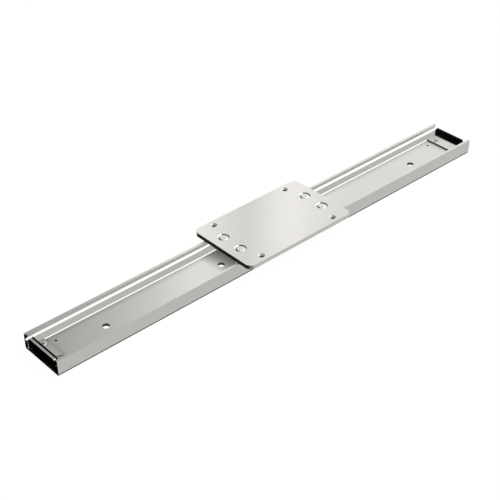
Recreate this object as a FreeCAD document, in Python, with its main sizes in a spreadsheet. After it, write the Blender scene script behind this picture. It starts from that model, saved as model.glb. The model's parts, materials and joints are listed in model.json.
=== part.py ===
# Thin linear guide: a drawn steel rail with end stops and a ball-guided slide plate.
# Millimetres, X along the rail, Z up, origin in the middle of the rail's underside.
import FreeCAD, Part
import math
import os
import Sketcher

doc = FreeCAD.newDocument("linear_guide")
sheet = doc.addObject("Spreadsheet::Sheet", "sizes")

# Driving dimensions, each a cell of the sheet with its own alias.
driving = {
    # rail section and length
    "rail_length": 400.0,
    "rail_width": 37.0,
    "rail_height": 11.8,
    "rail_floor": 1.5,
    "rail_wall": 2.4,
    "lip_reach": 2.0,
    "rail_foot_round": 1.2,
    "rail_floor_fillet": 0.9,
    "rail_lip_corner": 0.6,
    # holes in the rail floor
    "mount_pitch": 100.0,
    "mount_hole": 5.5,
    "pin_hole": 2.0,
    "pin_inset": 17.4,
    "pin_offset": 9.8,
    # ball track
    "ball_diameter": 3.175,
    "ball_pitch": 3.4,
    "groove_play": 0.1,
    "groove_depth": 1.6,
    "leg_groove_depth": 0.6,
    "track_height": 8.75,
    # slide plate
    "plate_length": 100.0,
    "plate_width": 60.0,
    "plate_sheet": 3.2,
    "plate_gap": 0.4,
    "plate_corner": 5.0,
    "tap_spacing_long": 70.0,
    "tap_spacing_wide": 50.0,
    "tap_hole": 4.2,
    "tap_chamfer": 0.4,
    # channel under the plate
    "channel_length": 90.0,
    "channel_sheet": 1.6,
    "channel_depth": 5.6,
    "channel_bend": 2.0,
    "guide_end": 5.0,
    # resin ball guides
    "guide_width": 4.4,
    "guide_foot": 0.8,
    "guide_fit": 0.1,
    "guide_nose_gap": 0.35,
    # plate rivets
    "plate_rivet_inset": 5.0,
    "plate_rivet_wide": 18.0,
    "plate_rivet_head": 7.0,
    "plate_rivet_seat": 7.2,
    "plate_rivet_shank": 4.0,
    "plate_rivet_depth": 1.3,
    "plate_rivet_bevel": 0.8,
    "plate_rivet_drop": 0.1,
    "plate_rivet_slope_long": 0.9,
    "plate_rivet_slope_deep": 0.4,
    "plate_rivet_tail": 5.6,
    "plate_rivet_tail_depth": 0.8,
    # end stops
    "stop_sheet": 1.6,
    "stop_width": 30.2,
    "stop_foot": 11.4,
    "stop_height": 8.7,
    "stop_top": 26.6,
    "stop_shoulder": 6.4,
    "stop_bend": 1.8,
    "stop_set_back": 0.6,
    "bumper_thickness": 1.2,
    "bumper_side_margin": 0.7,
    "bumper_lift": 0.9,
    "bumper_rise": 0.6,
    "bumper_slope_long": 1.8,
    "bumper_slope_wide": 1.4,
    # foot rivets
    "foot_rivet_wide": 19.2,
    "foot_rivet_offset": 1.7,
    "foot_rivet_inset": 8.2,
    "foot_rivet_head": 4.0,
    "foot_rivet_seat": 5.4,
    "foot_rivet_shank": 2.4,
    "foot_rivet_depth": 0.7,
    "foot_rivet_drop": 0.15,
    "foot_rivet_slope_long": 0.6,
    "foot_rivet_slope_deep": 0.3,
    # fit of a rivet shank in its hole
    "rivet_fit": 0.05,
}
for row, (alias, number) in enumerate(driving.items(), start=1):
    sheet.set("A%d" % row, alias)
    sheet.set("B%d" % row, str(number))
    sheet.setAlias("B%d" % row, alias)
doc.recompute()


def value(expression):
    return float(sheet.evalExpression(expression))


# Places that several pieces share, written as expressions of the sheet.
half_length = "(sizes.rail_length / 2)"
half_width = "(sizes.rail_width / 2)"
inner_half = "(sizes.rail_width / 2 - sizes.rail_wall)"
lip_edge = "(sizes.rail_width / 2 - sizes.lip_reach)"
groove_radius = "(sizes.ball_diameter / 2 + sizes.groove_play)"
ball_line = "(%s + sizes.groove_depth - %s)" % (inner_half, groove_radius)
plate_underside = "(sizes.rail_height + sizes.plate_gap)"
plate_top = "(%s + sizes.plate_sheet)" % plate_underside
channel_half = "(%s - %s + sizes.leg_groove_depth)" % (ball_line, groove_radius)
leg_inside = "(%s - sizes.channel_sheet)" % channel_half
leg_bottom = "(%s - sizes.channel_depth)" % plate_underside
web_underside = "(%s - sizes.channel_sheet)" % plate_underside
rivet_tail_seat = "(%s + sizes.plate_rivet_tail_depth)" % web_underside
leg_half_length = "(sizes.channel_length / 2 - sizes.guide_end)"
foot_top = "(sizes.rail_floor + sizes.stop_sheet)"
stop_inside_bend = "(sizes.stop_bend - sizes.stop_sheet)"


def negative(expression):
    return "-(%s)" % expression


def new_body(label):
    body = doc.addObject("PartDesign::Body", label)
    body.Label = label
    return body


def new_sketch(body, name, plane, offset=None):
    sketch = body.newObject("Sketcher::SketchObject", name)
    origin_plane = [part for part in body.Origin.OriginFeatures if part.Role == plane][0]
    sketch.AttachmentSupport = (origin_plane, "")
    sketch.MapMode = "FlatFace"
    if offset:
        sketch.setExpression(".AttachmentOffset.Base.z", offset)
    return sketch


def place_point(sketch, geometry, position, point):
    for kind, expression in zip(("DistanceX", "DistanceY"), point):
        rule = Sketcher.Constraint(kind, -1, 1, geometry, position, value(expression))
        index = sketch.addConstraint(rule)
        sketch.setExpression("Constraints[%d]" % index, expression)


def draw_outline(sketch, points):
    corners = [FreeCAD.Vector(value(x), value(y), 0) for x, y in points]
    first = len(sketch.Geometry)
    count = len(corners)
    for index, corner in enumerate(corners):
        sketch.addGeometry(Part.LineSegment(corner, corners[(index + 1) % count]), False)
    for index, point in enumerate(points):
        following = first + (index + 1) % count
        sketch.addConstraint(Sketcher.Constraint("Coincident", first + index, 2, following, 1))
        place_point(sketch, first + index, 1, point)


def draw_circles(sketch, centres, diameter):
    for centre in centres:
        middle = FreeCAD.Vector(value(centre[0]), value(centre[1]), 0)
        circle = Part.Circle(middle, FreeCAD.Vector(0, 0, 1), value(diameter) / 2)
        geometry = sketch.addGeometry(circle, False)
        place_point(sketch, geometry, 3, centre)
        index = sketch.addConstraint(Sketcher.Constraint("Diameter", geometry, value(diameter)))
        sketch.setExpression("Constraints[%d]" % index, diameter)


def pad(body, sketch, name, length, side="One side", reverse=False):
    feature = body.newObject("PartDesign::Pad", name)
    feature.Profile = sketch
    feature.setExpression("Length", length)
    feature.SideType = side
    feature.Reversed = reverse
    doc.recompute()
    return feature


def pocket(body, sketch, name, length):
    # cuts half of the length to each side of the sketch
    before = body.Shape.Volume
    feature = body.newObject("PartDesign::Pocket", name)
    feature.Profile = sketch
    feature.setExpression("Length", length)
    feature.SideType = "Symmetric"
    doc.recompute()
    if not body.Shape.Volume < before:
        raise RuntimeError("%s cuts nothing" % feature.Label)
    return feature


def edges_where(feature, test):
    names = []
    for number, edge in enumerate(feature.Shape.Edges, start=1):
        if test(edge):
            names.append("Edge%d" % number)
    return names


def near(first, second):
    return abs(first - second) < 1e-4


def edges_along_rail(feature, places):
    # straight edges parallel to X that pass through the given (y, z) places
    spots = [(value(y), value(z)) for y, z in places]

    def lies_there(edge):
        start, end = edge.Vertexes[0].Point, edge.Vertexes[-1].Point
        parallel = near(start.y, end.y) and near(start.z, end.z) and not near(start.x, end.x)
        return parallel and any(near(start.y, y) and near(start.z, z) for y, z in spots)

    return edges_where(feature, lies_there)


def edges_across_rail(feature, x, z):
    # straight edges parallel to Y at the given x and z
    def lies_there(edge):
        start, end = edge.Vertexes[0].Point, edge.Vertexes[-1].Point
        parallel = near(start.x, end.x) and near(start.z, end.z) and not near(start.y, end.y)
        return parallel and near(start.x, value(x)) and near(start.z, value(z))

    return edges_where(feature, lies_there)


def top_rims(feature, z, radius):
    # round edges of the given radius that lie at the given height
    def lies_there(edge):
        if not isinstance(edge.Curve, Part.Circle) or not near(edge.BoundBox.ZMin, value(z)):
            return False
        return near(edge.Curve.Radius, value(radius))

    return edges_where(feature, lies_there)


def both_sides(y, z):
    return [(y, z), (negative(y), z)]


def round_edges(body, base, name, radius, edges):
    fillet = body.newObject("PartDesign::Fillet", name)
    fillet.Base = (base, edges)
    fillet.setExpression("Radius", radius)
    doc.recompute()
    return fillet


def break_edges(body, base, name, size, edges):
    chamfer = body.newObject("PartDesign::Chamfer", name)
    chamfer.Base = (base, edges)
    chamfer.setExpression("Size", size)
    doc.recompute()
    return chamfer


def corner_places(long_spacing, wide_spacing):
    x = "(%s / 2)" % long_spacing
    y = "(%s / 2)" % wide_spacing
    return [(x, y), (negative(x), y), (negative(x), negative(y)), (x, negative(y))]


# Rail: U section with a half-round ball groove in each wall, a lip above it and holes in the floor.
mount_holes = [("sizes.mount_pitch * %s" % step, "0") for step in (-1.5, -0.5, 0.5, 1.5)]
pin_x = "(%s - sizes.pin_inset)" % half_length
pin_holes = [(pin_x, "sizes.pin_offset"), (negative(pin_x), "sizes.pin_offset")]
foot_rivet_x = "(%s - sizes.stop_set_back - sizes.foot_rivet_inset)" % half_length
foot_rivet_pair = [
    (foot_rivet_x, "(sizes.foot_rivet_wide / 2 - sizes.foot_rivet_offset)"),
    (foot_rivet_x, "(-sizes.foot_rivet_wide / 2 - sizes.foot_rivet_offset)"),
]
foot_rivets = foot_rivet_pair + [(negative(x), negative(y)) for x, y in foot_rivet_pair]


def cut_floor(body, name, centres, diameter):
    sketch = new_sketch(body, name + "_circles", "XY_Plane")
    draw_circles(sketch, centres, diameter)
    pocket(body, sketch, name, "4 * sizes.rail_floor")


def make_rail():
    body = new_body("rail")
    section = new_sketch(body, "rail_section", "YZ_Plane")
    right = [
        (half_width, "0"),
        (half_width, "sizes.rail_height"),
        (lip_edge, "sizes.rail_height"),
        (lip_edge, "sizes.track_height"),
        (inner_half, "sizes.track_height"),
        (inner_half, "sizes.rail_floor"),
    ]
    left = [(negative(y), z) for y, z in reversed(right)]
    draw_outline(section, right + left)
    base = pad(body, section, "rail_length", "sizes.rail_length", "Symmetric")
    base = round_edges(body, base, "rail_foot_rounds", "sizes.rail_foot_round",
                       edges_along_rail(base, both_sides(half_width, "0")))
    round_edges(body, base, "rail_floor_fillets", "sizes.rail_floor_fillet",
                edges_along_rail(base, both_sides(inner_half, "sizes.rail_floor")))
    grooves = new_sketch(body, "rail_groove_circles", "YZ_Plane")
    draw_circles(grooves, both_sides(ball_line, "sizes.track_height"), "2 * %s" % groove_radius)
    base = pocket(body, grooves, "rail_grooves", "sizes.rail_length + 2 * sizes.rail_height")

    def ends_a_lip(edge):
        start, end = edge.Vertexes[0].Point, edge.Vertexes[-1].Point
        upright = near(start.x, end.x) and near(start.y, end.y) and not near(start.z, end.z)
        above = min(start.z, end.z) > value("sizes.track_height")
        return upright and above and near(abs(start.y), value(lip_edge))

    round_edges(body, base, "rail_lip_corners", "sizes.rail_lip_corner", edges_where(base, ends_a_lip))
    cut_floor(body, "mount_holes", mount_holes, "sizes.mount_hole")
    cut_floor(body, "pin_holes", pin_holes, "sizes.pin_hole")
    cut_floor(body, "foot_rivet_holes", foot_rivets, "sizes.foot_rivet_shank")
    return body


# End stop: a bent angle, its foot riveted to the floor, its shoulders sloped to clear the lips.
def shoulder_outline(bottom, half, shoulder, top_half, top):
    right = [(half, bottom), (half, shoulder), (top_half, top)]
    left = [(negative(y), z) for y, z in reversed(right)]
    return right + left


upright_half = "(sizes.stop_width / 2)"
upright_shoulder = "(sizes.rail_floor + sizes.stop_shoulder)"
upright_top_half = "(sizes.stop_top / 2)"
upright_top = "(sizes.rail_floor + sizes.stop_height)"
stop_outer_face = "(%s - sizes.stop_set_back)" % half_length
stop_inner_face = "(%s - sizes.stop_sheet)" % stop_outer_face
bumper_bottom = "(%s + sizes.bumper_lift)" % foot_top


def make_stop_bracket(label):
    # made at the right-hand end, foot pointing to the middle of the rail
    body = new_body(label)
    profile = new_sketch(body, label + "_profile", "XZ_Plane")
    draw_outline(profile, [
        (stop_outer_face, "sizes.rail_floor"),
        (stop_outer_face, upright_top),
        (stop_inner_face, upright_top),
        (stop_inner_face, foot_top),
        ("(%s - sizes.stop_foot)" % stop_outer_face, foot_top),
        ("(%s - sizes.stop_foot)" % stop_outer_face, "sizes.rail_floor"),
    ])
    base = pad(body, profile, label + "_width", "sizes.stop_width", "Symmetric")
    base = round_edges(body, base, label + "_outer_bend", "sizes.stop_bend",
                       edges_across_rail(base, stop_outer_face, "sizes.rail_floor"))
    round_edges(body, base, label + "_inner_bend", stop_inside_bend,
                edges_across_rail(base, stop_inner_face, foot_top))
    shoulders = new_sketch(body, label + "_shoulder_cuts", "YZ_Plane", stop_outer_face)
    for side in ("1", "-1"):
        draw_outline(shoulders, [
            ("%s * %s" % (side, upright_half), upright_shoulder),
            ("%s * %s" % (side, upright_top_half), upright_top),
            ("%s * %s" % (side, upright_half), upright_top),
        ])
    pocket(body, shoulders, label + "_shoulders", "4 * sizes.stop_sheet")
    seats = new_sketch(body, label + "_seat_circles", "XY_Plane", foot_top)
    draw_circles(seats, foot_rivet_pair, "sizes.foot_rivet_seat")
    pocket(body, seats, label + "_seats", "2 * sizes.foot_rivet_depth")
    shanks = new_sketch(body, label + "_shank_circles", "XY_Plane", "sizes.rail_floor")
    draw_circles(shanks, foot_rivet_pair, "sizes.foot_rivet_shank")
    pocket(body, shanks, label + "_shank_holes", "4 * sizes.stop_sheet")
    return body


# Bumper: a rubber pad on the upright, a little narrower than the foot, its top corners sloped.
bumper_half = "(%s - sizes.bumper_side_margin)" % upright_half
bumper_top = "(%s + sizes.bumper_rise)" % upright_top


def make_bumper(label):
    body = new_body(label)
    face = new_sketch(body, label + "_face", "YZ_Plane", stop_inner_face)
    draw_outline(face, shoulder_outline(
        bumper_bottom,
        bumper_half,
        "(%s - sizes.bumper_slope_long)" % bumper_top,
        "(%s - sizes.bumper_slope_wide)" % bumper_half,
        bumper_top,
    ))
    pad(body, face, label + "_thickness", "sizes.bumper_thickness", reverse=True)
    return body


# Flat rivet: head in its seat, shank through the sheets, an optional tail sunk in the lower sheet.
def make_rivet(label, x, y, seat_floor, kind, shank_bottom, tail=None):
    body = new_body(label)
    head_sketch = new_sketch(body, label + "_head_circle", "XY_Plane", seat_floor)
    head = "sizes.%s_head" % kind
    rise = "(sizes.%s_depth - sizes.%s_drop)" % (kind, kind)
    draw_circles(head_sketch, [(x, y)], head)
    base = pad(body, head_sketch, label + "_head", rise)
    slope = break_edges(body, base, label + "_slope", "sizes.%s_slope_long" % kind,
                        top_rims(base, "%s + %s" % (seat_floor, rise), "%s / 2" % head))
    slope.ChamferType = "Two distances"
    slope.setExpression("Size2", "sizes.%s_slope_deep" % kind)
    slope.FlipDirection = True
    shank_sketch = new_sketch(body, label + "_shank_circle", "XY_Plane", seat_floor)
    draw_circles(shank_sketch, [(x, y)], "sizes.%s_shank - 2 * sizes.rivet_fit" % kind)
    pad(body, shank_sketch, label + "_shank", "%s - %s" % (seat_floor, shank_bottom), reverse=True)
    if tail:
        tail_sketch = new_sketch(body, label + "_tail_circle", "XY_Plane", shank_bottom)
        draw_circles(tail_sketch, [(x, y)], "%s - 2 * sizes.rivet_fit" % tail)
        pad(body, tail_sketch, label + "_tail", "%s - %s" % (shank_bottom, web_underside), reverse=True)
    return body


# Slide plate: flat, round-cornered, tapped at its corners, recessed for its rivets.
plate_rivet_x = "(sizes.channel_length / 2 - sizes.plate_rivet_inset)"
plate_rivets = corner_places("(2 * %s)" % plate_rivet_x, "sizes.plate_rivet_wide")


def make_slide_plate():
    body = new_body("slide_plate")
    outline = new_sketch(body, "plate_outline", "XY_Plane", plate_underside)
    draw_outline(outline, corner_places("sizes.plate_length", "sizes.plate_width"))
    base = pad(body, outline, "plate_sheet", "sizes.plate_sheet")

    def stands_upright(edge):
        start, end = edge.Vertexes[0].Point, edge.Vertexes[-1].Point
        return not near(start.z, end.z)

    round_edges(body, base, "plate_corners", "sizes.plate_corner", edges_where(base, stands_upright))
    taps = new_sketch(body, "plate_tap_circles", "XY_Plane", plate_underside)
    draw_circles(taps, corner_places("sizes.tap_spacing_long", "sizes.tap_spacing_wide"), "sizes.tap_hole")
    base = pocket(body, taps, "plate_taps", "4 * sizes.plate_sheet")

    break_edges(body, base, "plate_tap_chamfers", "sizes.tap_chamfer",
                top_rims(base, plate_top, "sizes.tap_hole / 2"))
    seats = new_sketch(body, "plate_seat_circles", "XY_Plane", plate_top)
    draw_circles(seats, plate_rivets, "sizes.plate_rivet_seat")
    base = pocket(body, seats, "plate_seats", "2 * sizes.plate_rivet_depth")
    break_edges(body, base, "plate_seat_bevels", "sizes.plate_rivet_bevel",
                top_rims(base, plate_top, "sizes.plate_rivet_seat / 2"))
    shanks = new_sketch(body, "plate_shank_circles", "XY_Plane", plate_underside)
    draw_circles(shanks, plate_rivets, "sizes.plate_rivet_shank")
    pocket(body, shanks, "plate_shank_holes", "4 * sizes.plate_sheet")
    return body


# Channel under the plate: inverted U with a ball groove in each leg; its web runs on past the legs.
def make_slide_channel():
    body = new_body("slide_channel")
    section = new_sketch(body, "channel_section", "YZ_Plane")
    right = [
        (channel_half, plate_underside),
        (channel_half, leg_bottom),
        (leg_inside, leg_bottom),
        (leg_inside, web_underside),
    ]
    left = [(negative(y), z) for y, z in reversed(right)]
    draw_outline(section, right + left)
    base = pad(body, section, "channel_legs", "2 * %s" % leg_half_length, "Symmetric")
    base = round_edges(body, base, "channel_bends", "sizes.channel_bend",
                       edges_along_rail(base, both_sides(channel_half, plate_underside)))
    round_edges(body, base, "channel_insides", "sizes.channel_bend - sizes.channel_sheet",
                edges_along_rail(base, both_sides(leg_inside, web_underside)))
    tongue = new_sketch(body, "channel_tongue", "XY_Plane", web_underside)
    draw_outline(tongue, corner_places(
        "sizes.channel_length", "(2 * (%s - sizes.channel_bend))" % channel_half))
    pad(body, tongue, "channel_web", "sizes.channel_sheet")
    grooves = new_sketch(body, "channel_groove_circles", "YZ_Plane")
    draw_circles(grooves, both_sides(ball_line, "sizes.track_height"), "2 * %s" % groove_radius)
    pocket(body, grooves, "channel_grooves", "2 * sizes.channel_length")
    shanks = new_sketch(body, "channel_shank_circles", "XY_Plane", web_underside)
    draw_circles(shanks, plate_rivets, "sizes.plate_rivet_shank")
    pocket(body, shanks, "channel_shank_holes", "4 * sizes.channel_sheet")
    tails = new_sketch(body, "channel_tail_circles", "XY_Plane", web_underside)
    draw_circles(tails, plate_rivets, "sizes.plate_rivet_tail")
    pocket(body, tails, "channel_tail_seats", "2 * sizes.plate_rivet_tail_depth")
    return body


# Ball guide: a resin bar inside each leg with an end block and nose that close the ball row.
guide_inside = "(%s - sizes.guide_width)" % leg_inside
guide_bottom = "(%s - sizes.guide_foot)" % leg_bottom
guide_bend_relief = "(sizes.channel_bend - sizes.channel_sheet)"


def make_ball_guide(label, side):
    body = new_body(label)

    def across(y):
        return "%d * %s" % (side, y)

    bar = new_sketch(body, label + "_bar_section", "YZ_Plane")
    draw_outline(bar, [
        (across(guide_inside), guide_bottom),
        (across(leg_inside), guide_bottom),
        (across(leg_inside), "(%s - %s)" % (web_underside, guide_bend_relief)),
        (across("(%s - %s)" % (leg_inside, guide_bend_relief)), web_underside),
        (across(guide_inside), web_underside),
    ])
    pad(body, bar, label + "_bar", "sizes.channel_length", "Symmetric")
    block_start = "(%s + sizes.guide_fit)" % leg_half_length
    for end in (1, -1):
        name = "%s_end%d" % (label, end)
        block = new_sketch(body, name + "_section", "YZ_Plane", "%d * %s" % (end, block_start))
        draw_outline(block, [
            (across(guide_inside), guide_bottom),
            (across(channel_half), guide_bottom),
            (across(channel_half), web_underside),
            (across(guide_inside), web_underside),
        ])
        pad(body, block, name, "sizes.guide_end - sizes.guide_fit", reverse=end < 0)
        nose = new_sketch(body, name + "_nose_circle", "YZ_Plane", "%d * %s" % (end, block_start))
        draw_circles(nose, [(across(ball_line), "sizes.track_height")],
                     "2 * (%s - sizes.guide_nose_gap)" % groove_radius)
        pad(body, nose, name + "_nose", "sizes.guide_end - sizes.guide_fit", reverse=end < 0)
    return body


# Ball row: the loaded balls of one side, spaced along the leg, each with a few flat facets.
ball_sides = 6
ball_bands = 4


def faceted_ball(radius, middle):
    def ring_point(band, step):
        tilt = math.pi * band / ball_bands
        turn = 2 * math.pi * step / ball_sides
        flat = radius * math.sin(tilt)
        offset = FreeCAD.Vector(flat * math.cos(turn), flat * math.sin(turn), radius * math.cos(tilt))
        return middle + offset

    facets = []
    for band in range(ball_bands):
        for step in range(ball_sides):
            corners = [ring_point(band, step)]
            if band < ball_bands - 1:
                corners.append(ring_point(band + 1, step))
            corners.append(ring_point(band + 1, step + 1))
            if band > 0:
                corners.append(ring_point(band, step + 1))
            facets.append(Part.Face(Part.makePolygon(corners + corners[:1])))
    return Part.makeSolid(Part.makeShell(facets))


def make_ball_row(label, side):
    radius = value("sizes.ball_diameter / 2")
    pitch = value("sizes.ball_pitch")
    run = value("2 * %s" % leg_half_length) - 2 * radius
    count = math.floor(run / pitch) + 1
    row = doc.addObject("Part::Feature", label)
    row.Label = label
    balls = []
    for index in range(count):
        x = (index - (count - 1) / 2) * pitch
        middle = FreeCAD.Vector(x, side * value(ball_line), value("sizes.track_height"))
        balls.append(faceted_ball(radius, middle))
    row.Shape = Part.makeCompound(balls)
    return row


half_turn = FreeCAD.Placement(FreeCAD.Vector(0, 0, 0), FreeCAD.Rotation(FreeCAD.Vector(0, 0, 1), 180))
pieces = [make_rail()]
for hand in ("right", "left"):
    bracket = make_stop_bracket("stop_bracket_" + hand)
    bumper = make_bumper("bumper_" + hand)
    if hand == "left":
        bracket.Placement = half_turn
        bumper.Placement = half_turn
    pieces += [bracket, bumper]
for number, (x, y) in enumerate(foot_rivets, start=1):
    seat_floor = "(%s - sizes.foot_rivet_depth)" % foot_top
    pieces.append(make_rivet(
        "foot_rivet_%d" % number, x, y, seat_floor, "foot_rivet", "sizes.rivet_fit"))
pieces.append(make_slide_plate())
pieces.append(make_slide_channel())
for number, (x, y) in enumerate(plate_rivets, start=1):
    seat_floor = "(%s - sizes.plate_rivet_depth)" % plate_top
    pieces.append(make_rivet(
        "plate_rivet_%d" % number, x, y, seat_floor, "plate_rivet", rivet_tail_seat,
        "sizes.plate_rivet_tail"))
for hand, side in (("right", -1), ("left", 1)):
    pieces.append(make_ball_guide("ball_guide_" + hand, side))
    pieces.append(make_ball_row("ball_row_" + hand, side))

doc.recompute()
for item in doc.Objects:
    if "Invalid" in item.State or "Error" in item.State:
        raise RuntimeError("%s failed to build" % item.Label)
for piece in pieces:
    if piece.Shape.isNull() or not piece.Shape.isValid():
        raise RuntimeError("%s has no valid shape" % piece.Label)
os.makedirs("parts", exist_ok=True)
for piece in pieces:
    piece.Shape.exportStep("parts/%s.step" % piece.Label)
    print(piece.Label, "solids", len(piece.Shape.Solids), "volume", round(piece.Shape.Volume, 2))
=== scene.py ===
import bpy
import bmesh
import json
from math import pi, radians, sin
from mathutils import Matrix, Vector

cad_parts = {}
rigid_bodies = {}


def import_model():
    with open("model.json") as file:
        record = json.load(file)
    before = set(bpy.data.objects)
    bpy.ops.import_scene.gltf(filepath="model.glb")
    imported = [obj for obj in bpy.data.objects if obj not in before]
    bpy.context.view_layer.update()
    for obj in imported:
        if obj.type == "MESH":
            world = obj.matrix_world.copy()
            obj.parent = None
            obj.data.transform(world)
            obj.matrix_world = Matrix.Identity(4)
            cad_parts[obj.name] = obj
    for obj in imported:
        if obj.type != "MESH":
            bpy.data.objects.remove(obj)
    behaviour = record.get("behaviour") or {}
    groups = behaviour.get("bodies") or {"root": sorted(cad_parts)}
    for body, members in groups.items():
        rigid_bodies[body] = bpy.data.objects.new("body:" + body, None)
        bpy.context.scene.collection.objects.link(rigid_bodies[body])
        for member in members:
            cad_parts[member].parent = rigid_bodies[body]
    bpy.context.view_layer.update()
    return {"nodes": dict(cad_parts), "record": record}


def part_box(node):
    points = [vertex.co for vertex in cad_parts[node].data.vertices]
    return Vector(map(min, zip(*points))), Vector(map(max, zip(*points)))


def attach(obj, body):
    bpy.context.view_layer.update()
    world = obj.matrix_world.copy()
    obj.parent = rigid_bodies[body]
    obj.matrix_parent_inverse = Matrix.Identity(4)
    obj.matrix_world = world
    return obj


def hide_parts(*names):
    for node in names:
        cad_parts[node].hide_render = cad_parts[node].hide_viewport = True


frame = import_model()
nodes = frame["nodes"]
railBody = "rail_body"
sliderBody = "slider_body"
mm = 0.001  # everything below is written in millimetres and scaled by this
print("frame loaded:", len(nodes), "nodes")


def hexToLinear(code):
    channels = [int(code[i:i + 2], 16) / 255 for i in (0, 2, 4)]
    linear = [c / 12.92 if c <= 0.04045 else ((c + 0.055) / 1.055) ** 2.4 for c in channels]
    return (*linear, 1.0)


def addNode(tree, kind, settings=None, inputs=None):
    # settings are node properties, inputs are values or output sockets
    node = tree.nodes.new(kind)
    for name, value in (settings or {}).items():
        setattr(node, name, value)
    for name, value in (inputs or {}).items():
        if isinstance(value, bpy.types.NodeSocket):
            tree.links.new(value, node.inputs[name])
        else:
            node.inputs[name].default_value = value
    return node


# steel, zinc plated: a bright grey satin with fine drawn lines, a little cloudy where it was handled
steelLook = {
    "colour": "b9b9b4",
    "cloudColour": "b3b3ae",
    "roughness": 0.13,
    "roughnessSwing": 0.015,
    "lineWidth": 0.35,   # real lines are about 0.05 mm, drawn coarser so that they show
    "lineLength": 60.0,
    "lineDepth": 0.0002,
    "lineStrength": 0.5,
    "cloudSize": 22.0,
    "grainFrom": 0.6,     # where lines and clouds added together mostly lie
    "grainTo": 1.4,
    # the keys from here on set painted shade, darkening the base colour under other pieces, in corners and
    # in holes
    "shadeReach": 14.0,   # how far other pieces keep the light off a surface
    "shadePower": 1.7,
    "shadeSamples": 16,
    "leastOpen": 0.1,
    "cornerReach": 6.0,
    "cornerPower": 0.75,
    "cornerTop": 2.2,     # only the rail's floor lies lower
    "holePower": 9.0,
    "holeTop": 1.45,      # only the holes in the rail's floor lie lower
    "upFrom": 0.9,        # upright share of the normal, from which a face counts as facing up
    "upTo": 0.98,
    "downFrom": -0.1,
    "downTo": -0.5,
}


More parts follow.
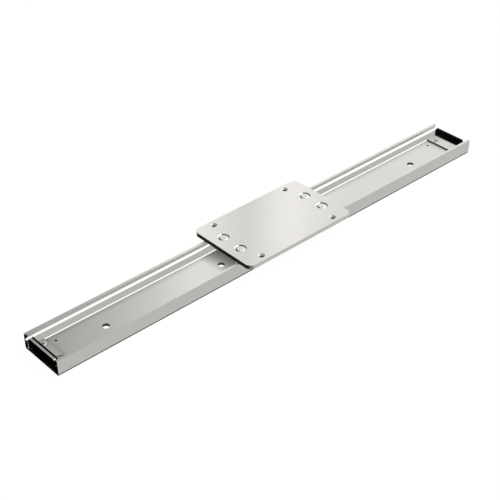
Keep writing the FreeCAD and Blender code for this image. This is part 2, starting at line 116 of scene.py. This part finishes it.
def makePlatedSteel(name, changes=None, along="x"):
    look = dict(steelLook, **(changes or {}))
    material = bpy.data.materials.new(name)
    material.use_nodes = True
    tree = material.node_tree
    shader = tree.nodes["Principled BSDF"]
    place = addNode(tree, "ShaderNodeTexCoord").outputs["Object"]
    acrossScale = 1 / (look["lineWidth"] * mm)
    alongScale = 1 / (look["lineLength"] * mm)
    stretch = {
        "x": (alongScale, acrossScale, acrossScale),
        "y": (acrossScale, alongScale, acrossScale),
    }[along]
    drawn = addNode(tree, "ShaderNodeMapping", inputs={"Vector": place, "Scale": stretch})
    lines = addNode(tree, "ShaderNodeTexNoise", inputs={
        "Vector": drawn.outputs["Vector"], "Scale": 1.0, "Detail": 3.0, "Roughness": 0.6})
    clouds = addNode(tree, "ShaderNodeTexNoise", inputs={
        "Vector": place, "Scale": 1 / (look["cloudSize"] * mm), "Detail": 4.0, "Roughness": 0.55})
    tone = addNode(tree, "ShaderNodeMix", {"data_type": "RGBA"}, {
        "Factor": clouds.outputs["Fac"],
        "A": hexToLinear(look["colour"]), "B": hexToLinear(look["cloudColour"])})
    grain = addNode(tree, "ShaderNodeMath", {"operation": "ADD"}, {
        0: lines.outputs["Fac"], 1: clouds.outputs["Fac"]})
    swing = look["roughnessSwing"]
    dullness = addNode(tree, "ShaderNodeMapRange", inputs={
        "Value": grain.outputs["Value"], "From Min": look["grainFrom"], "From Max": look["grainTo"],
        "To Min": look["roughness"] - swing, "To Max": look["roughness"] + swing})
    relief = addNode(tree, "ShaderNodeBump", inputs={
        "Strength": look["lineStrength"], "Distance": look["lineDepth"] * mm,
        "Height": lines.outputs["Fac"]})
    # painted shade in the base colour: darker under other pieces on what faces up or down, in the corners
    # of the rail's floor and in holes
    facing = addNode(tree, "ShaderNodeSeparateXYZ", inputs={
        "Vector": addNode(tree, "ShaderNodeNewGeometry").outputs["Normal"]})
    facingUp = addNode(tree, "ShaderNodeMapRange", inputs={
        "Value": facing.outputs["Z"], "From Min": look["upFrom"], "From Max": look["upTo"]})
    facingDown = addNode(tree, "ShaderNodeMapRange", inputs={
        "Value": facing.outputs["Z"], "From Min": look["downFrom"], "From Max": look["downTo"]})
    flatness = addNode(tree, "ShaderNodeMath", {"operation": "MAXIMUM"}, {
        0: facingUp.outputs["Result"], 1: facingDown.outputs["Result"]})
    samples = look["shadeSamples"]
    openToAll = addNode(tree, "ShaderNodeAmbientOcclusion", {"samples": samples}, {
        "Distance": look["shadeReach"] * mm})
    openToOwn = addNode(tree, "ShaderNodeAmbientOcclusion", {"samples": samples, "only_local": True}, {
        "Distance": look["shadeReach"] * mm})
    ownShare = addNode(tree, "ShaderNodeMath", {"operation": "MAXIMUM"}, {
        0: openToOwn.outputs["AO"], 1: look["leastOpen"]})
    fromOthers = addNode(tree, "ShaderNodeMath", {"operation": "DIVIDE", "use_clamp": True}, {
        0: openToAll.outputs["AO"], 1: ownShare.outputs["Value"]})
    underShade = addNode(tree, "ShaderNodeMath", {"operation": "POWER"}, {
        0: fromOthers.outputs["Value"], 1: look["shadePower"]})
    height = addNode(tree, "ShaderNodeSeparateXYZ", inputs={"Vector": place}).outputs["Z"]
    corner = addNode(tree, "ShaderNodeAmbientOcclusion", {"samples": samples, "only_local": True}, {
        "Distance": look["cornerReach"] * mm})

    def shadeBelow(top, power):
        below = addNode(tree, "ShaderNodeMath", {"operation": "LESS_THAN"}, {0: height, 1: top * mm})
        darker = addNode(tree, "ShaderNodeMath", {"operation": "POWER"}, {
            0: corner.outputs["AO"], 1: power})
        return addNode(tree, "ShaderNodeMix", {"data_type": "FLOAT"}, {
            "Factor": below.outputs["Value"], "A": 1.0, "B": darker.outputs["Value"]}).outputs["Result"]

    flatShade = addNode(tree, "ShaderNodeMath", {"operation": "MULTIPLY"}, {
        0: underShade.outputs["Value"], 1: shadeBelow(look["cornerTop"], look["cornerPower"])})
    facedShade = addNode(tree, "ShaderNodeMix", {"data_type": "FLOAT"}, {
        "Factor": flatness.outputs["Value"], "A": 1.0, "B": flatShade.outputs["Value"]})
    shade = addNode(tree, "ShaderNodeMath", {"operation": "MULTIPLY"}, {
        0: facedShade.outputs["Result"], 1: shadeBelow(look["holeTop"], look["holePower"])})
    shaded = addNode(tree, "ShaderNodeVectorMath", {"operation": "SCALE"}, {
        0: tone.outputs["Result"], "Scale": shade.outputs["Value"]})
    shader.inputs["Metallic"].default_value = 1.0
    tree.links.new(shaded.outputs["Vector"], shader.inputs["Base Color"])
    tree.links.new(dullness.outputs["Result"], shader.inputs["Roughness"])
    tree.links.new(relief.outputs["Normal"], shader.inputs["Normal"])
    return material


# chrome bearing steel, lapped: a clear mirror with faint haze
ballLook = {"colour": "dcdcdc", "roughness": 0.06, "clearest": 0.6, "haziest": 1.8, "hazeSize": 1.5}


def makeBallSteel():
    material = bpy.data.materials.new("bearingSteelLapped")
    material.use_nodes = True
    tree = material.node_tree
    shader = tree.nodes["Principled BSDF"]
    place = addNode(tree, "ShaderNodeTexCoord").outputs["Object"]
    haze = addNode(tree, "ShaderNodeTexNoise", inputs={
        "Vector": place, "Scale": 1 / (ballLook["hazeSize"] * mm), "Detail": 3.0})
    dullness = addNode(tree, "ShaderNodeMapRange", inputs={
        "Value": haze.outputs["Fac"], "From Min": 0.3, "From Max": 0.7,
        "To Min": ballLook["roughness"] * ballLook["clearest"],
        "To Max": ballLook["roughness"] * ballLook["haziest"]})
    shader.inputs["Base Color"].default_value = hexToLinear(ballLook["colour"])
    shader.inputs["Metallic"].default_value = 1.0
    tree.links.new(dullness.outputs["Result"], shader.inputs["Roughness"])
    return material


# acetal, natural white, and black nitrile rubber, both with a fine spark-eroded grain from the mould
acetalLook = {
    "colour": "e6e3da", "mottleColour": "dcd9cf", "roughness": 0.42, "swing": 0.08,
    "mottleSize": 6.0, "grain": 0.25, "grainDepth": 0.012, "grainStrength": 0.6,
    "ior": 1.48, "specular": 0.5}
rubberLook = {
    "colour": "040404", "mottleColour": "080808", "roughness": 0.72, "swing": 0.1,
    "mottleSize": 6.0, "grain": 0.35, "grainDepth": 0.02, "grainStrength": 0.6,
    "ior": 1.5, "specular": 0.04}


def makeMoulded(name, look):
    material = bpy.data.materials.new(name)
    material.use_nodes = True
    tree = material.node_tree
    shader = tree.nodes["Principled BSDF"]
    place = addNode(tree, "ShaderNodeTexCoord").outputs["Object"]
    pits = addNode(tree, "ShaderNodeTexVoronoi", inputs={
        "Vector": place, "Scale": 1 / (look["grain"] * mm)})
    mottle = addNode(tree, "ShaderNodeTexNoise", inputs={
        "Vector": place, "Scale": 1 / (look["mottleSize"] * mm), "Detail": 5.0})
    tone = addNode(tree, "ShaderNodeMix", {"data_type": "RGBA"}, {
        "Factor": mottle.outputs["Fac"],
        "A": hexToLinear(look["colour"]), "B": hexToLinear(look["mottleColour"])})
    dullness = addNode(tree, "ShaderNodeMapRange", inputs={
        "Value": mottle.outputs["Fac"], "From Min": 0.3, "From Max": 0.7,
        "To Min": look["roughness"] - look["swing"], "To Max": look["roughness"] + look["swing"]})
    relief = addNode(tree, "ShaderNodeBump", inputs={
        "Strength": look["grainStrength"], "Distance": look["grainDepth"] * mm,
        "Height": pits.outputs["Distance"]})
    shader.inputs["IOR"].default_value = look["ior"]
    shader.inputs["Specular IOR Level"].default_value = look["specular"]
    tree.links.new(tone.outputs["Result"], shader.inputs["Base Color"])
    tree.links.new(dullness.outputs["Result"], shader.inputs["Roughness"])
    tree.links.new(relief.outputs["Normal"], shader.inputs["Normal"])
    return material


railSteel = makePlatedSteel("zincPlatedSteelDrawn")
stopSteel = makePlatedSteel("zincPlatedSteelFolded", {"cloudSize": 9.0, "shadePower": 0.7}, along="y")
plateSteel = makePlatedSteel("zincPlatedSteelFineSatin", {
    "colour": "bab8b4", "cloudColour": "b4b2ae", "roughness": 0.1, "roughnessSwing": 0.01,
    "holePower": 3.0, "holeTop": 13.7})  # only the deep part of the tapped holes is shaded
channelSteel = makePlatedSteel("zincPlatedSteelRollFormed", {"roughness": 0.34})
rivetSteel = makePlatedSteel("zincPlatedSteelSet", {"roughness": 0.2, "lineLength": 0.8, "cloudSize": 2.5})
footRivetSteel = makePlatedSteel("zincPlatedSteelHeaded", {
    "roughness": 0.5, "lineLength": 0.8, "cloudSize": 2.5})
ballSteel = makeBallSteel()
guideResin = makeMoulded("acetalMoulded", acetalLook)
bumperRubber = makeMoulded("nitrileRubberMoulded", rubberLook)
finishes = {
    "rail_steel": railSteel,
    "stop_steel": stopSteel,
    "plate_steel": plateSteel,
    "channel_steel": channelSteel,
    "rivet_steel": rivetSteel,
    "ball_steel": ballSteel,
    "guide_resin": guideResin,
    "bumper_rubber": bumperRubber,
}
for subpart in frame["record"]["subparts"]:
    mesh = nodes[subpart["node"]].data
    mesh.materials.clear()
    duller = subpart["node"].startswith("foot_rivet")
    mesh.materials.append(footRivetSteel if duller else finishes[subpart["material_slot"]])
print("materials on the solids:", len(finishes))


def newPiece(name, mesh, body, material):
    piece = bpy.data.objects.new(name, mesh)
    bpy.context.scene.collection.objects.link(piece)
    mesh.materials.clear()
    mesh.materials.append(material)
    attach(piece, body)
    return piece


def newTree(name, sizes):
    # a geometry node group with one named number for each size
    tree = bpy.data.node_groups.new(name, "GeometryNodeTree")
    tree.interface.new_socket("Geometry", in_out="INPUT", socket_type="NodeSocketGeometry")
    sockets = {}
    for label, number in sizes.items():
        kind = "NodeSocketInt" if isinstance(number, int) else "NodeSocketFloat"
        sockets[label] = tree.interface.new_socket(label, in_out="INPUT", socket_type=kind).identifier
    tree.interface.new_socket("Geometry", in_out="OUTPUT", socket_type="NodeSocketGeometry")
    source = addNode(tree, "NodeGroupInput")
    return tree, sockets, source


def endTree(tree, instances, material):
    real = addNode(tree, "GeometryNodeRealizeInstances", inputs={"Geometry": instances})
    smooth = addNode(tree, "GeometryNodeSetShadeSmooth", inputs={"Geometry": real.outputs["Geometry"]})
    dressed = addNode(tree, "GeometryNodeSetMaterial", inputs={
        "Geometry": smooth.outputs["Geometry"], "Material": material})
    addNode(tree, "NodeGroupOutput", inputs={"Geometry": dressed.outputs["Geometry"]})


def growMesh(name, points, tree, sockets, sizes):
    # runs the tree on a few loose points and keeps the result as a plain mesh
    seed = bpy.data.meshes.new(name + "Points")
    seed.from_pydata(points, [], [])
    carrier = bpy.data.objects.new(name + "Carrier", seed)
    bpy.context.scene.collection.objects.link(carrier)
    modifier = carrier.modifiers.new("grow", "NODES")
    modifier.node_group = tree
    for label, number in sizes.items():
        modifier[sockets[label]] = number
    depsgraph = bpy.context.evaluated_depsgraph_get()
    mesh = bpy.data.meshes.new_from_object(carrier.evaluated_get(depsgraph))
    carrier.modifiers.remove(modifier)
    bpy.data.objects.remove(carrier)
    mesh.name = name
    return mesh


# loaded balls, one row for each side
ballSizes = {"diameter": 3.175 * mm, "pitch": 3.4 * mm, "segments": 20, "rings": 12}
ballTree, ballSockets, ballSource = newTree("ballRow", {
    "radius": 0.0, "pitch": 0.0, "count": 1, "start": 0.0, "segments": 3, "rings": 3})
ballStart = addNode(ballTree, "ShaderNodeCombineXYZ", inputs={"X": ballSource.outputs["start"]})
ballStep = addNode(ballTree, "ShaderNodeCombineXYZ", inputs={"X": ballSource.outputs["pitch"]})
ballLine = addNode(ballTree, "GeometryNodeMeshLine", {"mode": "OFFSET"}, {
    "Count": ballSource.outputs["count"],
    "Start Location": ballStart.outputs["Vector"], "Offset": ballStep.outputs["Vector"]})
ballShape = addNode(ballTree, "GeometryNodeMeshUVSphere", inputs={
    "Segments": ballSource.outputs["segments"], "Rings": ballSource.outputs["rings"],
    "Radius": ballSource.outputs["radius"]})
ballRow = addNode(ballTree, "GeometryNodeInstanceOnPoints", inputs={
    "Points": ballLine.outputs["Mesh"], "Instance": ballShape.outputs["Mesh"]})
ballPlaced = addNode(ballTree, "GeometryNodeInstanceOnPoints", inputs={
    "Points": ballSource.outputs["Geometry"], "Instance": ballRow.outputs["Instances"]})
endTree(ballTree, ballPlaced.outputs["Instances"], ballSteel)
for hand in ("left", "right"):
    low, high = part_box("ball_row_" + hand)
    middle = (low + high) / 2
    run = high.x - low.x - ballSizes["diameter"]
    count = round(run / ballSizes["pitch"]) + 1
    mesh = growMesh("ballRow." + hand, [(middle.x, middle.y, middle.z)], ballTree, ballSockets, {
        "radius": ballSizes["diameter"] / 2, "pitch": ballSizes["pitch"], "count": count,
        "start": -ballSizes["pitch"] * (count - 1) / 2,
        "segments": ballSizes["segments"], "rings": ballSizes["rings"]})
    row = newPiece("balls_" + hand, mesh, sliderBody, ballSteel)
    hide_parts("ball_row_" + hand)
    print("balls", hand, count)

# screw threads in the plate's four tapped holes
threadSizes = {
    "bore": 4.2 * mm, "pitch": 0.8 * mm, "height": 0.34 * mm, "chamfer": 0.4 * mm,
    "stepsPerTurn": 28, "ridgeSides": 4, "spacingLong": 70.0 * mm, "spacingWide": 50.0 * mm}
plateLow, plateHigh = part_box("slide_plate")
threadRun = plateHigh.z - plateLow.z - threadSizes["chamfer"] - threadSizes["pitch"] / 2
threadTree, threadSockets, threadSource = newTree("tapThread", {
    "radius": 0.0, "turns": 0.0, "run": 0.0, "height": 0.0, "steps": 8})
threadCoil = addNode(threadTree, "GeometryNodeCurveSpiral", inputs={
    "Resolution": threadSource.outputs["steps"], "Rotations": threadSource.outputs["turns"],
    "Start Radius": threadSource.outputs["radius"], "End Radius": threadSource.outputs["radius"],
    "Height": threadSource.outputs["run"]})
threadRidge = addNode(threadTree, "GeometryNodeCurvePrimitiveCircle", {"mode": "RADIUS"}, {
    "Resolution": threadSizes["ridgeSides"], "Radius": threadSource.outputs["height"]})
threadForm = addNode(threadTree, "GeometryNodeCurveToMesh", inputs={
    "Curve": threadCoil.outputs["Curve"], "Profile Curve": threadRidge.outputs["Curve"], "Fill Caps": True})
threadSet = addNode(threadTree, "GeometryNodeInstanceOnPoints", inputs={
    "Points": threadSource.outputs["Geometry"], "Instance": threadForm.outputs["Mesh"]})
endTree(threadTree, threadSet.outputs["Instances"], plateSteel)
threadBase = plateLow.z + threadSizes["pitch"] / 2
tapPlaces = []
for sideX in (-0.5, 0.5):
    for sideY in (-0.5, 0.5):
        tapX = sideX * threadSizes["spacingLong"]
        tapY = sideY * threadSizes["spacingWide"]
        tapPlaces.append((tapX, tapY, threadBase))
threadMesh = growMesh("tapThreads", tapPlaces, threadTree, threadSockets, {
    "radius": threadSizes["bore"] / 2, "turns": threadRun / threadSizes["pitch"], "run": threadRun,
    "height": threadSizes["height"], "steps": threadSizes["stepsPerTurn"]})
newPiece("tap_threads", threadMesh, sliderBody, plateSteel)
print("threads cut in", len(tapPlaces), "tapped holes")

# rubber bumpers: the pads with the rounded edges of a moulding
bumperSizes = {"edgeRadius": 0.2 * mm, "edgeSteps": 4, "mergeGap": 0.001 * mm, "flatAngle": 2.0}
for hand in ("left", "right"):
    mesh = nodes["bumper_" + hand].data.copy()
    mesh.name = "bumperPad." + hand
    form = bmesh.new()
    form.from_mesh(mesh)
    bmesh.ops.remove_doubles(form, verts=form.verts, dist=bumperSizes["mergeGap"])
    bmesh.ops.dissolve_limit(
        form, angle_limit=radians(bumperSizes["flatAngle"]), verts=form.verts, edges=form.edges)
    bmesh.ops.bevel(
        form, geom=form.edges[:], offset=bumperSizes["edgeRadius"], offset_type="OFFSET",
        segments=bumperSizes["edgeSteps"], profile=0.5, affect="EDGES")
    bmesh.ops.recalc_face_normals(form, faces=form.faces)
    form.to_mesh(mesh)
    form.free()
    mesh.polygons.foreach_set("use_smooth", [True] * len(mesh.polygons))
    pad = newPiece("bumper_pad_" + hand, mesh, railBody, bumperRubber)
    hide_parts("bumper_" + hand)
print("bumpers rounded")

# floor: white paper that the camera and every reflection see as white, with a trace of shadow, and a
# painted contact shadow, seen by the camera only, darkening the white right next to the pieces
floorLook = {
    "colour": "f4f4f4", "size": 24.0, "drop": 0.02 * mm, "shadow": 0.03, "contact": 0.2 * mm,
    "contactSamples": 16}
floorMesh = bpy.data.meshes.new("floorPaper")
floorHalf = floorLook["size"] / 2
floorTurns = ((-1, -1), (1, -1), (1, 1), (-1, 1))
floorCorners = [(x * floorHalf, y * floorHalf, -floorLook["drop"]) for x, y in floorTurns]
floorMesh.from_pydata(floorCorners, [], [(0, 1, 2, 3)])
floor = bpy.data.objects.new("floor", floorMesh)
bpy.context.scene.collection.objects.link(floor)
floorPaper = bpy.data.materials.new("paperWhiteMatt")
floorPaper.use_nodes = True
floorTree = floorPaper.node_tree
floorTree.nodes.remove(floorTree.nodes["Principled BSDF"])
paper = addNode(floorTree, "ShaderNodeBsdfDiffuse", inputs={"Color": hexToLinear(floorLook["colour"])})
# painted contact shadow: the camera's white is darkened by occlusion within the contact distance of the
# pieces
contactShade = addNode(floorTree, "ShaderNodeAmbientOcclusion", {"samples": floorLook["contactSamples"]}, {
    "Distance": floorLook["contact"]})
path = addNode(floorTree, "ShaderNodeLightPath")
contactShadeStrength = addNode(floorTree, "ShaderNodeMix", {"data_type": "FLOAT"}, {
    "Factor": path.outputs["Is Camera Ray"], "A": 1.0, "B": contactShade.outputs["AO"]})
white = addNode(floorTree, "ShaderNodeEmission", inputs={
    "Color": (1, 1, 1, 1), "Strength": contactShadeStrength.outputs["Result"]})
seen = addNode(floorTree, "ShaderNodeMath", {"operation": "ADD"}, {
    0: path.outputs["Is Camera Ray"], 1: path.outputs["Is Glossy Ray"]})
seenAll = addNode(floorTree, "ShaderNodeMath", {"operation": "ADD", "use_clamp": True}, {
    0: seen.outputs["Value"], 1: path.outputs["Is Transmission Ray"]})
share = addNode(floorTree, "ShaderNodeMath", {"operation": "MULTIPLY"}, {
    0: seenAll.outputs["Value"], 1: 1.0 - floorLook["shadow"]})
blend = addNode(floorTree, "ShaderNodeMixShader", inputs={
    0: share.outputs["Value"], 1: paper.outputs["BSDF"], 2: white.outputs["Emission"]})
floorTree.links.new(blend.outputs["Shader"], floorTree.nodes["Material Output"].inputs["Surface"])
floorMesh.materials.append(floorPaper)
print("floor laid")

# black flags, seen only in the steel and from their front, paint dark reflections where the steel would
# mirror shade, the nearFoot one the contact shade along the rail's foot:
# each is four corners in millimetres, and those in the second list are partly see-through, for a fainter
# painted darkness, given at each corner
flagLook = {"colour": "040404", "drop": 0.01}
flagCorners = {
    "leftEnd": ((-330, -140, 0), (-199.9, -140, 0), (-199.9, 180, 0), (-330, 180, 0)),
    "leftBend": ((-199.9, -17.5, 0), (-196.3, -17.5, 0), (-196.3, 11.6, 0), (-199.9, 15.5, 0)),
    "leftFarBend": ((-199.9, 15.6, 0), (-196.3, 15.6, 0), (-196.3, 22, 0), (-199.9, 22, 0)),
    "leftNearLip": ((-200, -16.4, 1.5), (-200, -16.4, 11.3), (-195.5, -16.4, 11.3), (-195.5, -16.4, 1.5)),
    "nearFoot": ((-200, -19.95, 0), (200, -19.95, 0), (200, -16, 0), (-200, -16, 0)),
    "leftUpright": ((-197, 21, 1.5), (-197, -16, 1.5), (-197, -16, 7), (-197, 21, 7)),
    "leftUprightTop": ((-197, 13, 7), (-197, 5, 7), (-197, 5, 10.5), (-197, 13, 10.5)),
    "farLip": ((-200, 5.1, 0), (200, 5.1, 0), (200, 6.6, 0), (-200, 6.6, 0)),
    "plateEdge": ((-51.5, -28.5, 9.5), (-51.5, 34, 9.5), (-51.5, 34, 14.6), (-51.5, -28.5, 14.6)),
    "plateCorner": ((-72, -52, 0), (-36, -52, 0), (-36, -33, 0), (-72, -33, 0)),
    "stopFoot": ((187, -16, 0), (187, 17, 0), (187, 17, 3.4), (187, -16, 3.4)),
    "rightRivets": ((185, -16, 0), (192.5, -16, 0), (192.5, 3, 0), (185, 3, 0)),
    "leftRivets": ((-196.3, -16, 0), (-187, -16, 0), (-187, 3, 0), (-196.3, 3, 0)),
}
fainterFlags = {
    "plateCorner": (1, 0, 0, 1),
    "plateEdge": (0.97, 0.97, 0.97, 0.97),
    "stopFoot": (0.92, 0.92, 0.92, 0.92),
}
flagPoints = []
flagFaces = []
flagCover = []
for label, corners in flagCorners.items():
    first = len(flagPoints)
    flagFaces.append((first, first + 1, first + 2, first + 3))
    flagPoints += [Vector((x, y, z - flagLook["drop"])) * mm for x, y, z in corners]
    flagCover += fainterFlags.get(label, (1, 1, 1, 1))
flagMesh = bpy.data.meshes.new("flagCards")
flagMesh.from_pydata(flagPoints, [], flagFaces)
cover = flagMesh.attributes.new("cover", "FLOAT", "POINT")
cover.data.foreach_set("value", flagCover)
flag = bpy.data.objects.new("flags", flagMesh)
bpy.context.scene.collection.objects.link(flag)
paintedDarkness = bpy.data.materials.new("paintedDarknessBlackMatt")
paintedDarkness.use_nodes = True
flagTree = paintedDarkness.node_tree
flagShader = flagTree.nodes["Principled BSDF"]
flagShader.inputs["Base Color"].default_value = hexToLinear(flagLook["colour"])
flagShader.inputs["Roughness"].default_value = 1.0
flagShader.inputs["Specular IOR Level"].default_value = 0.0
flagFront = addNode(flagTree, "ShaderNodeMath", {"operation": "SUBTRACT", "use_clamp": True}, {
    0: addNode(flagTree, "ShaderNodeAttribute", {"attribute_name": "cover"}).outputs["Fac"],
    1: addNode(flagTree, "ShaderNodeNewGeometry").outputs["Backfacing"]})
flagSide = addNode(flagTree, "ShaderNodeMixShader", inputs={
    0: flagFront.outputs["Value"], 1: addNode(flagTree, "ShaderNodeBsdfTransparent").outputs["BSDF"],
    2: flagShader.outputs["BSDF"]})
flagTree.links.new(flagSide.outputs["Shader"], flagTree.nodes["Material Output"].inputs["Surface"])
flagMesh.materials.append(paintedDarkness)
flag.visible_camera = False
flag.visible_shadow = False
flag.visible_diffuse = False

# shade on the table under the rail, as it shows through the mounting holes
shadeSizes = {
    "hole": 5.5, "reach": 11.0, "steps": 48, "pull": (-0.65, -0.7),
    "pitch": 100.0, "places": (-1.5, -0.5, 0.5, 1.5)}  # places in pitches from the middle
shadeForm = bmesh.new()
for step in shadeSizes["places"]:
    rims = []
    for diameter in (shadeSizes["hole"], shadeSizes["reach"]):
        rim = bmesh.ops.create_circle(
            shadeForm, cap_ends=False, segments=shadeSizes["steps"], radius=diameter / 2 * mm)["verts"]
        middle = Vector((step * shadeSizes["pitch"], 0, -flagLook["drop"]))
        middle += Vector((*shadeSizes["pull"], 0))
        bmesh.ops.translate(shadeForm, verts=rim, vec=middle * mm)
        rims += [edge for edge in shadeForm.edges if edge.verts[0] in rim and edge.verts[1] in rim]
    bmesh.ops.bridge_loops(shadeForm, edges=rims)
for face in shadeForm.faces:
    face.normal_update()
    if face.normal.z < 0:
        face.normal_flip()
shadeMesh = bpy.data.meshes.new("shadeRings")
shadeForm.to_mesh(shadeMesh)
shadeForm.free()
cover = shadeMesh.attributes.new("cover", "FLOAT", "POINT")
cover.data.foreach_set("value", [1] * len(shadeMesh.vertices))
# the rings are painted shadow, in the same black as the flags
shadeMesh.materials.append(paintedDarkness)
shadeRings = bpy.data.objects.new("shadeRings", shadeMesh)
bpy.context.scene.collection.objects.link(shadeRings)

# the steel mirrors the softboxes, the table and the flags, and not its own pieces
for thing in bpy.context.scene.objects:
    if thing.type == "MESH" and thing not in (floor, flag):
        thing.visible_glossy = False
print("flags set")

# studio: softboxes and dark walls round the table, given by azimuth from +X in degrees and brightness,
# one row of them low down and one higher up, under an even ceiling
studioLook = {
    "lowWalls": {
        -180: 0.9, -110: 0.9, -75: 1.7, -52: 2.4, 20: 2.4, 33: 1.52, 41: 1.45, 43: 1.48,
        45.5: 1.9, 47.9: 1.22, 50.6: 1.75, 53: 1.3, 56: 1.02, 60.5: 0.76, 66: 0.6,
        84: 0.2, 164: 0.2, 178: 0.9},
    "highWalls": {
        -180: 0.15, -105: 0.15, -80: 2.5, 22: 2.5, 40: 1.5, 60: 0.8, 84: 0.12, 164: 0.12, 178: 0.15},
    "highFrom": 39.0,
    "highTo": 47.0,
    "ceiling": 1.4,
    "ceilingFrom": 62.0,
    "ceilingTo": 82.0,
    "brightest": 2.5,
}

world = bpy.data.worlds.new("studio")
bpy.context.scene.world = world
world.use_nodes = True
sky = world.node_tree
gaze = addNode(sky, "ShaderNodeSeparateXYZ", inputs={
    "Vector": addNode(sky, "ShaderNodeTexCoord").outputs["Generated"]})
azimuth = addNode(sky, "ShaderNodeMath", {"operation": "ARCTAN2"}, {
    0: gaze.outputs["Y"], 1: gaze.outputs["X"]})
around = addNode(sky, "ShaderNodeMapRange", inputs={
    "Value": azimuth.outputs["Value"], "From Min": -pi, "From Max": pi})


def addWalls(levels):
    ramp = addNode(sky, "ShaderNodeValToRGB", inputs={"Fac": around.outputs["Result"]})
    stops = ramp.color_ramp.elements
    stops.remove(stops[1])
    for number, (degrees, brightness) in enumerate(levels.items()):
        position = (degrees + 180) / 360
        stop = stops[0] if number == 0 else stops.new(position)
        grey = brightness / studioLook["brightest"]
        stop.position = position
        stop.color = (grey, grey, grey, 1)
    scaled = addNode(sky, "ShaderNodeMath", {"operation": "MULTIPLY"}, {
        0: ramp.outputs["Color"], 1: studioLook["brightest"]})
    return scaled.outputs["Value"]


def blendUp(lower, upper, fromAngle, toAngle):
    # goes over from the lower level to the upper one between two elevations
    rise = addNode(sky, "ShaderNodeMapRange", {"interpolation_type": "SMOOTHSTEP"}, {
        "Value": gaze.outputs["Z"], "From Min": sin(radians(fromAngle)), "From Max": sin(radians(toAngle))})
    mixed = addNode(sky, "ShaderNodeMix", {"data_type": "FLOAT"}, {
        "Factor": rise.outputs["Result"], "A": lower, "B": upper})
    return mixed.outputs["Result"]


level = blendUp(addWalls(studioLook["lowWalls"]), addWalls(studioLook["highWalls"]),
                studioLook["highFrom"], studioLook["highTo"])
level = blendUp(level, studioLook["ceiling"], studioLook["ceilingFrom"], studioLook["ceilingTo"])
glow = sky.nodes["Background"]
sky.links.new(level, glow.inputs["Strength"])
glow.inputs["Color"].default_value = (1, 1, 1, 1)

# one soft lamp over the right shoulder gives the shadows
lampLook = {"place": (420, -380, 780), "target": (0, 0, 0), "width": 600, "power": 6.0}
lampData = bpy.data.lights.new("softLamp", "AREA")
lampData.shape = "SQUARE"
lampData.size = lampLook["width"] * mm
lampData.energy = lampLook["power"]
lamp = bpy.data.objects.new("softLamp", lampData)
lamp.location = Vector(lampLook["place"]) * mm
lampAim = Vector(lampLook["target"]) * mm - lamp.location
lamp.rotation_euler = lampAim.to_track_quat("-Z", "Y").to_euler()
bpy.context.scene.collection.objects.link(lamp)
lamp.visible_glossy = False  # the steel mirrors the softboxes only
print("studio lit")

# camera from the front left, a little above the rail
cameraLook = {
    "place": (-468.01, -487.82, 474.77), "target": (-27.86, -5.48, 6.26), "lens": 81.98, "film": 36.0,
    "clipStart": 10.0, "clipEnd": 100000.0}
cameraData = bpy.data.cameras.new("camera")
cameraData.lens = cameraLook["lens"]
cameraData.sensor_width = cameraLook["film"]
cameraData.clip_start = cameraLook["clipStart"] * mm
cameraData.clip_end = cameraLook["clipEnd"] * mm
camera = bpy.data.objects.new("camera", cameraData)
camera.location = Vector(cameraLook["place"]) * mm
sight = Vector(cameraLook["target"]) * mm - camera.location
camera.rotation_euler = sight.to_track_quat("-Z", "Y").to_euler()
bpy.context.scene.collection.objects.link(camera)
bpy.context.scene.camera = camera
bpy.context.scene.view_settings.view_transform = "Standard"

print("scene ready")
